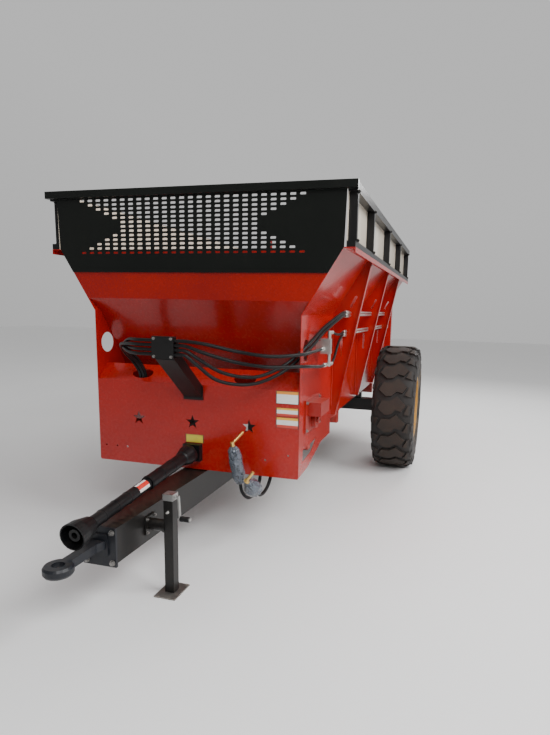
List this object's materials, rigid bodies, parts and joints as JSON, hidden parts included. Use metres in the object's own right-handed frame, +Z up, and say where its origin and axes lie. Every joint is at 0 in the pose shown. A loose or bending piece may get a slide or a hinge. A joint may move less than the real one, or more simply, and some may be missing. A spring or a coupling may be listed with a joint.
{
  "type": "manure spreader",
  "caption": "Towed manure spreader: V-sided hopper with framed boards, apron floor conveyor, rear gate and upright beaters, on one axle, with drawbar, parking jack and drive shaft.",
  "frame": {"origin": "on the ground, under the middle of the bounding box", "axes": "+Y runs to the rear, +X to the machine's left side as its driver faces, +Z is up"},
  "size_m": [2.937, 6.391, 2.7],
  "materials": {
    "red_paint": "glossy farm red with dust",
    "black_paint": "glossy black",
    "cream_paint": "glossy cream",
    "rim_paint": "dull yellow",
    "tyre": "dusty rubber",
    "guard_plastic": "black moulded guard",
    "eye_steel": "dark forged steel",
    "zinc": "zinc plated",
    "grey_steel": "dusty grey",
    "worn_steel": "worn bright steel",
    "hose_rubber": "black hose",
    "film": "soft translucent film",
    "gold_fitting": "yellow passivated"
  },
  "bodies": {
    "chassis": {"axle_beam": "red_paint", "beater_gearbox": "red_paint", "beater_top_beam": "red_paint", "conveyor_chain": "worn_steel", "conveyor_shaft_front": "red_paint", "conveyor_shaft_rear": "red_paint", "coupler_1": "gold_fitting", "coupler_2": "gold_fitting", "cross_front": "red_paint", "cross_middle": "red_paint", "cross_rear": "red_paint", "drawbar": "black_paint", "front_board": "black_paint", "front_housing": "red_paint", "front_wall": "red_paint", "gate_barrel_left": "black_paint", "gate_barrel_right": "black_paint", "gate_guide_left": "red_paint", "gate_guide_right": "red_paint", "hitch_eye": "eye_steel", "hopper_floor": "red_paint", "hopper_side_left": "red_paint", "hopper_side_right": "red_paint", "hose_1": "hose_rubber", "hose_2": "hose_rubber", "hose_3": "hose_rubber", "hose_4": "hose_rubber", "hose_bracket": "black_paint", "hose_sleeve_1": "film", "hose_sleeve_2": "film", "hydraulic_manifold": "grey_steel", "jack_mount": "black_paint", "pipes_lower": "zinc", "pipes_upper": "zinc", "pto_input_guard": "guard_plastic", "rail_left": "red_paint", "rail_right": "red_paint", "rear_side_left": "red_paint", "rear_side_right": "red_paint", "side_frame_left": "black_paint", "side_frame_right": "black_paint", "side_panel_left": "cream_paint", "side_panel_right": "cream_paint", "tractor_hose_1": "hose_rubber", "tractor_hose_2": "hose_rubber", "valve_block": "zinc", "valve_hose_low": "hose_rubber", "valve_hose_top": "hose_rubber"},
    "wheel_l": {"wheel_left": "rim_paint", "tyre_left": "tyre"},
    "wheel_r": {"wheel_right": "rim_paint", "tyre_right": "tyre"},
    "beater_l": {"beater_left": "worn_steel"},
    "beater_r": {"beater_right": "worn_steel"},
    "gate": {"rear_gate": "red_paint"},
    "jack_head": {"jack_body": "black_paint", "jack_crank": "zinc"},
    "jack_foot": {"jack_leg": "grey_steel"},
    "pto_rear": {"pto_rear_section": "guard_plastic"},
    "pto_front": {"pto_front_section": "guard_plastic"}
  },
  "joints": [
    {"name": "wheel_left_spin", "type": "hinge", "parent": "chassis", "child": "wheel_l", "pos_m": [1.246, 0.8795, 0.674], "axis": [1, 0, 0], "continuous": true},
    {"name": "wheel_right_spin", "type": "hinge", "parent": "chassis", "child": "wheel_r", "pos_m": [-1.246, 0.8795, 0.674], "axis": [1, 0, 0], "continuous": true},
    {"name": "beater_left_spin", "type": "hinge", "parent": "chassis", "child": "beater_l", "pos_m": [0.4, 2.8555, 0.985], "axis": [0, 0, 1], "continuous": true},
    {"name": "beater_right_spin", "type": "hinge", "parent": "chassis", "child": "beater_r", "pos_m": [-0.4, 2.8555, 0.985], "axis": [0, 0, 1], "continuous": true},
    {"name": "gate_lift", "type": "slide", "parent": "chassis", "child": "gate", "axis": [0, 0, 1], "range_m": [0, 0.75]},
    {"name": "jack_swivel", "type": "hinge", "parent": "chassis", "child": "jack_head", "pos_m": [0.243, -2.4505, 0.42], "axis": [1, 0, 0], "range_deg": [0, 90]},
    {"name": "jack_extend", "type": "slide", "parent": "jack_head", "child": "jack_foot", "axis": [0, 0, 1], "range_m": [-0.25, 0]},
    {"name": "pto_lift", "type": "hinge", "parent": "chassis", "child": "pto_rear", "pos_m": [0, -1.7495, 0.665], "axis": [-1, 0, 0], "range_deg": [0, 20]},
    {"name": "pto_telescope", "type": "slide", "parent": "pto_rear", "child": "pto_front", "axis": [0, -0.996, -0.0889], "range_m": [0, 0.2]}
  ],
  "couplings": [
    {"joint": "beater_right_spin", "follows": "beater_left_spin", "ratio": -1}
  ]
}
